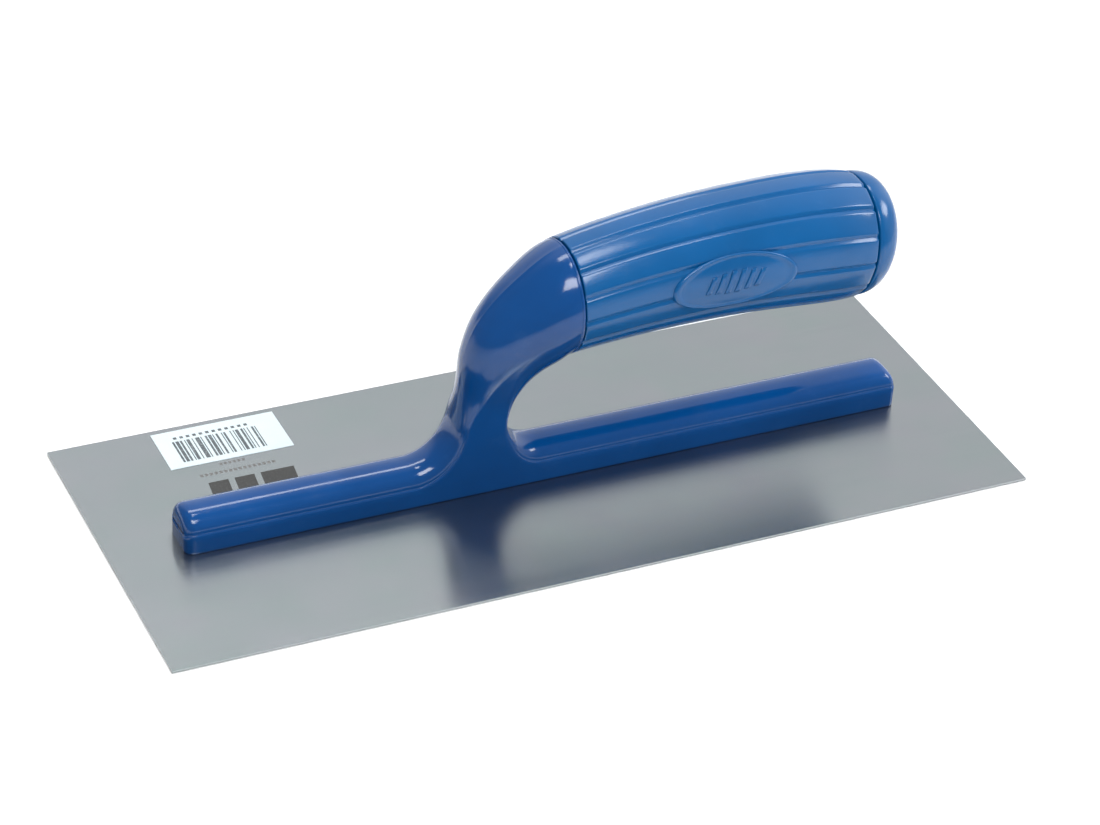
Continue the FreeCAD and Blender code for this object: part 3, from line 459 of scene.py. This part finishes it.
# ---------------------------------------------------------------------------------------------
# Tang, washer and nut. A zinc plated steel rod stands on the rail, bends inside the shank and runs
# back through the grip, where a wide washer and a nut draw the sleeve against the neck.


def zinc_plate(name):
    """Bright zinc: faint yellow and blue passivation clouds with fine drawing lines."""
    finish, tree, shader = new_finish(name)
    cloud = clouds(tree, object_place(tree), 140.0, 3.0, 0.6)
    lines = clouds(tree, object_place(tree, (80, 1300, 1300)), 1.0, 3.0, 0.5)
    colour = blend(tree, span(tree, cloud, 0.35, 0.65, 0, 1),
                   (0.58, 0.56, 0.47), (0.5, 0.54, 0.6))
    tree.links.new(colour, shader.inputs["Base Color"])
    tree.links.new(span(tree, lines, 0.3, 0.7, 0.24, 0.38), shader.inputs["Roughness"])
    bumps(tree, shader, [(lines, 0.000008)])
    shader.inputs["Metallic"].default_value = 1.0
    return finish


zinc = zinc_plate("Zinc_Plated_Fixings")
for part in ("tang", "tang_washer", "tang_nut"):
    paint(part, zinc)

# ---------------------------------------------------------------------------------------------
# Grip sleeve. A hollow barrel moulded in the same blue, bowed along its length and fullest near
# the rear, with fourteen V-grooves between gently crowned panels and a raised oval on one side.
# Its colour, also used for the oval and the end cap, is a lit copy of the frame's blue: set lighter
# and more cyan, so painted light stands in its colour.

SLEEVE_FRONT, SLEEVE_REAR = 3.35, 100.1
REAR_LEAN = math.radians(6.0)
PANELS = 14
GROOVE_DEPTH, GROOVE_HALF, GROOVE_POWER = 0.72, 1.2, 1.1
CROWN, CROWN_POWER = 1.0115, 0.42       # panels stand this much fuller than the plain barrel
BOW_RADIUS, BOW_TOP_X, BOW_TOP_Z = 340.0, 60.0, 67.0
BARREL_ROWS, ROUND_ROWS = 78, 8
FRONT_ROUND = 0.35                      # rounded edge at the front seam
REAR_ROUND, REAR_ROUND_RUN = 0.9, 1.4   # and at the rear one, deep and long
REAR_TAPER, TAPER_FROM, TAPER_RUN = 0.62, 88.0, 12.0
COLLAR_SHARE = 0.9                      # end faces: inner edge as a share of the outer
SLEEVE_SHAPE = np.array([
    # x, radius
    [-21.0, 15.6], [3.2, 17.6], [28.0, 18.75], [60.0, 19.8],
    [88.0, 20.45], [100.3, 20.1], [110.0, 19.2],
])


def bow_height(x):
    """Height of the grip's bowed axis: a circle of the bow's radius that peaks at its top."""
    return BOW_TOP_Z - BOW_RADIUS + np.sqrt(BOW_RADIUS**2 - (x - BOW_TOP_X) ** 2)


def sleeve_radius(x):
    """Radius of the barrel at x: between two stations, the cubic that has both their radii and
    both their slopes, where a station's slope is worked out from its neighbours."""
    stations, radii = SLEEVE_SHAPE[:, 0], SLEEVE_SHAPE[:, 1]
    slopes = np.gradient(radii, stations)
    i = np.clip(np.searchsorted(stations, x) - 1, 0, len(stations) - 2)
    width = stations[i + 1] - stations[i]
    t = (x - stations[i]) / width
    return ((2 * t**3 - 3 * t**2 + 1) * radii[i] + (t**3 - 2 * t**2 + t) * width * slopes[i]
            + (3 * t**2 - 2 * t**3) * radii[i + 1] + (t**3 - t**2) * width * slopes[i + 1])


def lean_at(x):
    """Lean of the cross-section at x: upright at the front seam, growing to the rear seam's."""
    return REAR_LEAN * (x - SLEEVE_FRONT) / (SLEEVE_REAR - SLEEVE_FRONT)


def round_axis(x, angle, radius):
    """Point at an angle from the top (positive towards -Y) and a radius from the bowed axis."""
    lean = lean_at(x)
    return np.stack([
        x + radius * np.cos(angle) * np.sin(lean),
        -radius * np.sin(angle),
        bow_height(x) + radius * np.cos(angle) * np.cos(lean),
    ], -1)


panel_half = math.pi / PANELS
in_panel = np.array([
    -1, -0.985, -0.95, -0.91, -0.87, -0.83, -0.8, -0.77, -0.73, -0.65, -0.5, -0.25])
in_panel = np.concatenate([in_panel, [0.0], -in_panel[::-1][:-1]]) * panel_half
around = (np.arange(PANELS)[:, None] * 2 * panel_half + in_panel[None, :]).reshape(-1)
offset = np.tile(in_panel, PANELS)
around = np.append(around, around[0] + 2 * math.pi)[None, :]
offset = np.append(offset, offset[0])[None, :]
end_turn = np.linspace(0, math.pi / 2, ROUND_ROWS)[1:]
# Each row has its place along the axis and the inward pull of the rounded ends.
row_x = np.concatenate([
    SLEEVE_FRONT + FRONT_ROUND * (1 - np.sin(end_turn[::-1])),
    np.linspace(SLEEVE_FRONT + 0.5, SLEEVE_REAR - 1.5, BARREL_ROWS),
    SLEEVE_REAR - REAR_ROUND_RUN * (1 - np.sin(end_turn)),
])[:, None]
pull = np.concatenate([
    FRONT_ROUND * (1 - np.cos(end_turn[::-1])),
    np.zeros(BARREL_ROWS),
    REAR_ROUND * (1 - np.cos(end_turn)),
])[:, None]
pull = pull + REAR_TAPER * np.clip((row_x - TAPER_FROM) / TAPER_RUN, 0, 1) ** 2
radius = sleeve_radius(row_x)
groove = np.clip(1 - (panel_half - np.abs(offset)) * radius / GROOVE_HALF, 0, 1)
groove = groove ** GROOVE_POWER
crown = CROWN * (math.cos(panel_half) / np.cos(offset)) ** CROWN_POWER
fluted = radius * crown - GROOVE_DEPTH * groove - pull
barrel = round_axis(row_x + 0 * around, around + 0 * row_x, fluted)


def closed_ends(grid, front_x, rear_x):
    """The grid with a collar and a pole added at each end, so that it closes on its axis."""
    collars = []
    for x, edge in ((front_x, grid[0]), (rear_x, grid[-1])):
        middle = np.array([x, 0, bow_height(x)])
        pole = np.broadcast_to(middle, edge.shape)
        collars.append((middle + (edge - middle) * COLLAR_SHARE, pole))
    (front_collar, front_pole), (rear_collar, rear_pole) = collars
    return np.concatenate([
        front_pole[None], front_collar[None], grid, rear_collar[None], rear_pole[None]])


barrel = closed_ends(barrel, SLEEVE_FRONT, SLEEVE_REAR)
# Painted light: a lighter, more cyan copy of the frame's blue for the grip, oval and cap.
painted_lit_blue = glossy_blue("Grip_Blue_Painted_Lit",
                          (0.0005, 0.0720, 0.222), (0.001, 0.0890, 0.272), 0.15)
sleeve = piece_from("fluted_sleeve", [barrel], painted_lit_blue)
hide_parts("grip_sleeve")

# The raised oval: a pad with a soft edge and a low rim, and a plain pattern of slanted ribs.
OVAL_X, OVAL_ANGLE = 51.0, math.radians(84.5)
OVAL_LONG, OVAL_SHORT = 20.5, 8.6
RIB_COUNT, RIB_PITCH, RIB_HALF, RIB_SLANT = 6, 0.155, 0.05, 0.055     # shares of OVAL_LONG
RIB_UP, RIB_SHRINK = 0.47, 0.12         # share of OVAL_SHORT, and how fast the outer ribs shorten
RIB_FOOT, RIB_RISE = 0.35, 0.55
# Rings of the pad from its middle out, as shares of the half axes, with their lift off the sleeve.
oval_rings = np.array([
    [0.0, 0.48], [0.3, 0.48], [0.6, 0.48], [0.8, 0.48], [0.86, 0.5], [0.885, 0.6], [0.91, 0.8],
    [0.935, 0.9], [0.955, 0.88], [0.975, 0.74], [0.987, 0.5], [0.996, 0.22], [1.0, 0.0],
    [1.0, -0.9], [0.0, -0.9],
])
oval_share, oval_lift = oval_rings[:, 0:1], oval_rings[:, 1:2]
turn = np.linspace(0, 2 * math.pi, 97)


def on_oval(a, b, lift):
    """Point on the sleeve at shares a along and b round the oval's half axes, lifted off it."""
    x = OVAL_X + OVAL_LONG * a
    r = sleeve_radius(x)
    return round_axis(x, OVAL_ANGLE + OVAL_SHORT * b / r, r + lift)


pad = on_oval(oval_share * np.cos(turn), oval_share * np.sin(turn), oval_lift)
piece_from("oval_pad", [pad], painted_lit_blue)
ribs = []
for number in range(RIB_COUNT):
    from_middle = number - (RIB_COUNT - 1) / 2
    up = np.linspace(-1, 1, 15)[:, None]
    side = np.linspace(-1, 1, 9)[None, :]
    taper = np.sqrt(np.clip(1 - np.abs(up) ** 6, 0, 1))
    a = from_middle * RIB_PITCH - RIB_SLANT * up + RIB_HALF * side * np.ones_like(up)
    b = RIB_UP * up * (1 - RIB_SHRINK * abs(from_middle)) * np.ones_like(side)
    lift = RIB_FOOT + RIB_RISE * np.sqrt(np.clip(1 - side**4, 0, 1)) * taper
    under = np.full_like(lift, RIB_FOOT)
    ribs += [on_oval(a, b, lift), on_oval(a, b, under)]
piece_from("oval_ribs", ribs, painted_lit_blue)

# ---------------------------------------------------------------------------------------------
# End cap. A blue plug with a bull-nosed face, pushed into the rear of the sleeve so that a thin
# dark joint is left all round between the two mouldings.

CAP_FRONT, CAP_DEPTH, CAP_RADIUS = 100.45, 10.9, 19.3
CAP_POWER = 2.6         # above 2, so the nose is blunter than an ellipse
CAP_BEVEL = 0.35        # where the nose starts, behind the joint
CAP_TILT, CAP_SINK = math.radians(3.0), 0.02    # what the cap leans and drops on the way back
NOSE_ROWS, CAP_COLUMNS = 30, 145
nose = np.linspace(0, math.pi / 2, NOSE_ROWS)[:, None]
lead = np.array([-0.7, -0.7, 0.0, 0.0, 0.06, 0.2])[:, None]
lead_radius = np.array([0.0, 0.92, 0.92, 0.95, 0.98, 0.995])[:, None]
nose_along = CAP_BEVEL + (CAP_DEPTH - CAP_BEVEL) * np.sin(nose) ** (2 / CAP_POWER)
cap_along = np.concatenate([lead, nose_along])
cap_radius = CAP_RADIUS * np.concatenate([lead_radius, np.cos(nose) ** (2 / CAP_POWER)])
cap_round = np.linspace(0, 2 * math.pi, CAP_COLUMNS)[None, :]
cap_lean = REAR_LEAN + CAP_TILT * cap_along / CAP_DEPTH
cap_x = CAP_FRONT + cap_along + cap_radius * np.cos(cap_round) * np.sin(cap_lean)
cap_y = -cap_radius * np.sin(cap_round)
cap_z = (bow_height(CAP_FRONT) - CAP_SINK * cap_along
         + cap_radius * np.cos(cap_round) * np.cos(cap_lean))
cap = piece_from("nosed_cap", [np.stack([cap_x, cap_y, cap_z], -1)], painted_lit_blue)
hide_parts("end_cap")

# ---------------------------------------------------------------------------------------------
# Sticker and printing. A white paper sticker with a block of bars lies on the blade behind the
# foot, and a plain dark mark with two rows of dashes is printed on the steel between them.


LABEL_TOP, BLADE_TOP = 0.82, 0.7
INK = 0.02              # thickness of the printed ink
ON_LABEL, ON_BLADE = LABEL_TOP - 0.01, BLADE_TOP - 0.008     # undersides, just below each face
BARS_LEFT, BARS_LENGTH, BARS_LOW, BARS_HIGH = -102.6, 27.2, 38.2, 49.6


def coated_paper(name):
    """White coated paper: faint fibre mottling and a slight sheen."""
    finish, tree, shader = new_finish(name)
    fibre = clouds(tree, object_place(tree), 2600.0, 4.0, 0.6)
    cloud = clouds(tree, object_place(tree), 120.0, 2.0, 0.5)
    colour = blend(tree, span(tree, fibre, 0.35, 0.65, 0, 1),
                   (0.60, 0.70, 0.735), (0.67, 0.76, 0.79))
    colour = blend(tree, span(tree, cloud, 0.45, 0.75, 0, 0.35), colour, (0.57, 0.66, 0.71))
    tree.links.new(colour, shader.inputs["Base Color"])
    tree.links.new(span(tree, cloud, 0.3, 0.7, 0.4, 0.55), shader.inputs["Roughness"])
    bumps(tree, shader, [(fibre, 0.000006)])
    return finish


def printing_ink(name, dark, worn):
    """Thin ink: dark, with worn specks where the surface shows through."""
    finish, tree, shader = new_finish(name)
    specks = clouds(tree, object_place(tree), 1500.0, 4.0, 0.65)
    colour = blend(tree, span(tree, specks, 0.5, 0.78, 0, 1), dark, worn)
    tree.links.new(colour, shader.inputs["Base Color"])
    tree.links.new(span(tree, specks, 0.3, 0.7, 0.35, 0.6), shader.inputs["Roughness"])
    bumps(tree, shader, [(specks, 0.000004)])
    return finish


def printed_blocks(name, left, right, low, high, slant, z, finish):
    """Flat blocks of ink, one for each entry of the arrays: corners at left and right, low and
    high, with the upper edge slid along X by the slant, and the ink's thickness."""
    given = (np.asarray(v, float) for v in (left, right, low, high, slant))
    left, right, low, high, slant = np.broadcast_arrays(*given)
    slide = slant * (high - low)
    ring_x = np.stack([left, right, right + slide, left + slide], 1)
    ring_y = np.stack([low, low, high, high], 1)
    corners = np.concatenate([
        np.stack([ring_x, ring_y, np.full_like(ring_x, z)], -1),
        np.stack([ring_x, ring_y, np.full_like(ring_x, z + INK)], -1),
    ], 1)
    box_faces = np.array([
        [0, 3, 2, 1], [4, 5, 6, 7], [0, 1, 5, 4], [1, 2, 6, 5], [2, 3, 7, 6], [3, 0, 4, 7]])
    faces = (np.arange(len(left))[:, None, None] * 8 + box_faces).reshape(-1, 4)
    mesh = bpy.data.meshes.new(name)
    mesh.from_pydata(mm(corners.reshape(-1, 3)).tolist(), [], faces.tolist())
    mesh.materials.append(finish)
    piece = bpy.data.objects.new(name, mesh)
    bpy.context.scene.collection.objects.link(piece)
    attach(piece, "root")


paint("price_label", coated_paper("Coated_Label_Paper"))
label_ink = printing_ink("Label_Ink", (0.07, 0.085, 0.095), (0.36, 0.40, 0.42))
bar_step = np.array([2, 1, 3, 1, 2, 2, 1, 1, 3, 2, 1, 2, 4, 1, 1, 3, 2, 1, 3, 1, 1, 2, 2, 3, 1, 1,
                     2, 4, 1, 2, 1, 1, 3, 2, 2, 1, 1, 2, 1, 3, 2, 1, 1])
bar_edge = np.concatenate([[0], np.cumsum(bar_step)]) / bar_step.sum()
bar_x = BARS_LEFT + BARS_LENGTH * bar_edge
printed_blocks("label_bars", bar_x[0:-1:2], bar_x[1::2], BARS_LOW, BARS_HIGH, 0.0, ON_LABEL,
               label_ink)
dash = np.arange(12)
printed_blocks("label_dashes", -101.6 + 2.1 * dash, -100.5 + 2.1 * dash, 50.7, 51.9, 0.0,
               ON_LABEL, label_ink)
mark_ink = printing_ink("Blade_Mark_Ink", (0.028, 0.028, 0.027), (0.10, 0.10, 0.098))
faint_ink = printing_ink("Blade_Note_Ink", (0.13, 0.13, 0.128), (0.26, 0.26, 0.255))
printed_blocks("blade_mark", [-101.0, -92.6, -84.2], [-94.6, -86.2, -73.4], 11.5, 25.6, 0.12,
               ON_BLADE, mark_ink)
fine = np.arange(16)
printed_blocks("blade_mark_dashes", -100.4 + 1.55 * fine, -99.4 + 1.55 * fine, 29.1, 30.4, 0.0,
               ON_BLADE, faint_ink)
short = np.arange(6)
printed_blocks("blade_mark_note", -92.7 + 1.45 * short, -91.8 + 1.45 * short, 33.3, 34.4, 0.0,
               ON_BLADE, faint_ink)

# ---------------------------------------------------------------------------------------------
# Studio. A plain pale floor under soft light: a dim even sky with two bright parts behind and to
# the heel side, four soft boxes, and a wide overhead fill that does not show in what mirrors it.

FLOOR_HALF, FLOOR_Z = 3.0, -0.0003      # metres; the floor lies just under the sole
LIT_POINT = Vector((0.03, 0.0, 0.05))   # what every soft box faces


def pale_floor():
    """Wide square floor just under the sole, with a faint paper-like unevenness."""
    half = FLOOR_HALF
    mesh = bpy.data.meshes.new("studio_floor")
    mesh.from_pydata([(-half, -half, FLOOR_Z), (half, -half, FLOOR_Z),
                      (half, half, FLOOR_Z), (-half, half, FLOOR_Z)], [], [(0, 1, 2, 3)])
    finish, tree, shader = new_finish("Pale_Studio_Floor")
    cloud = clouds(tree, object_place(tree), 6.0, 2.0, 0.5)
    colour = blend(tree, cloud, (0.93, 0.94, 0.94), (0.96, 0.96, 0.96))
    tree.links.new(colour, shader.inputs["Base Color"])
    shader.inputs["Roughness"].default_value = 0.8
    shader.inputs["Specular IOR Level"].default_value = 0.1
    mesh.materials.append(finish)
    floor = bpy.data.objects.new("studio_floor", mesh)
    bpy.context.scene.collection.objects.link(floor)


def soft_box(name, direction, distance, size, power):
    """Rectangular light standing off the lit point in a direction and facing it."""
    lamp = bpy.data.lights.new(name, "AREA")
    lamp.shape = "RECTANGLE"
    lamp.size, lamp.size_y = size
    lamp.energy = power
    box = bpy.data.objects.new(name, lamp)
    away = Vector(direction).normalized()
    box.location = LIT_POINT + away * distance
    box.rotation_euler = away.to_track_quat("Z", "Y").to_euler()
    bpy.context.scene.collection.objects.link(box)
    return box


def sky_lobe(tree, where, direction, inner, outer, amount):
    """Brightness that is full inside an inner angle of a direction and none past an outer one."""
    aim = add(tree, "VectorMath", {0: where, 1: tuple(Vector(direction).normalized())},
              operation="DOT_PRODUCT").outputs["Value"]
    return add(tree, "MapRange", {
        "Value": aim, "To Min": 0.0, "To Max": amount,
        "From Min": math.cos(math.radians(outer)), "From Max": math.cos(math.radians(inner)),
    }, interpolation_type="SMOOTHSTEP").outputs[0]


pale_floor()
for light in (
    # name, direction, distance, size, watts
    ("front_soft_box", (-0.16, -0.54, 0.83), 1.1, (0.56, 0.34), 7.2),
    ("overhead_strip", (0.03, 0.37, 0.93), 1.2, (0.78, 0.17), 3.6),
    ("side_soft_box", (0.74, -0.22, 0.63), 1.2, (0.42, 0.34), 4.5),
    ("zenith_soft_box", (0.04, 0.02, 1.0), 1.2, (0.15, 0.2), 1.1),
):
    soft_box(*light)
unseen_fill = soft_box("overhead_fill", (0.0, -0.30, 0.95), 2.2, (2.0, 2.0), 9.0)
unseen_fill.visible_glossy = False
world = bpy.data.worlds.new("studio_sky")
world.use_nodes = True
sky = world.node_tree
where = add(sky, "TexCoord").outputs["Generated"]
SKY_EVEN = 0.3
total = SKY_EVEN
for direction, inner, outer, amount in (
    ((0.42, 0.74, 0.52), 34, 60, 0.70),
    ((0.95, -0.10, 0.30), 22, 50, 0.60),
):
    lobe = sky_lobe(sky, where, direction, inner, outer, amount)
    total = add(sky, "Math", {0: total, 1: lobe}, operation="ADD").outputs[0]
sky.links.new(total, sky.nodes["Background"].inputs["Strength"])
sky.nodes["Background"].inputs["Color"].default_value = (0.97, 0.985, 1.0, 1.0)
bpy.context.scene.world = world
bpy.context.scene.view_settings.view_transform = "Standard"

AZIMUTH, ELEVATION, ROLL = (math.radians(v) for v in (-26.622, 33.867, 3.952))
CAMERA_AT = Vector((-0.398334, -0.798478, 0.619373))
back = Vector((math.sin(AZIMUTH) * math.cos(ELEVATION), -math.cos(AZIMUTH) * math.cos(ELEVATION),
               math.sin(ELEVATION)))
level = (-back).cross(Vector((0, 0, 1))).normalized()
upright = level.cross(-back)
right = math.cos(ROLL) * level + math.sin(ROLL) * upright
up_axis = -math.sin(ROLL) * level + math.cos(ROLL) * upright
SENSOR_WIDTH, FOCAL_LENGTH = 36.0, 115.173      # millimetres
lens = bpy.data.cameras.new("studio_camera")
lens.sensor_width = SENSOR_WIDTH
lens.lens = FOCAL_LENGTH
lens.clip_end = 20.0
camera = bpy.data.objects.new("studio_camera", lens)
camera.matrix_world = Matrix((
    (right.x, up_axis.x, back.x, CAMERA_AT.x),
    (right.y, up_axis.y, back.y, CAMERA_AT.y),
    (right.z, up_axis.z, back.z, CAMERA_AT.z),
    (0, 0, 0, 1),
))
bpy.context.scene.collection.objects.link(camera)
bpy.context.scene.camera = camera
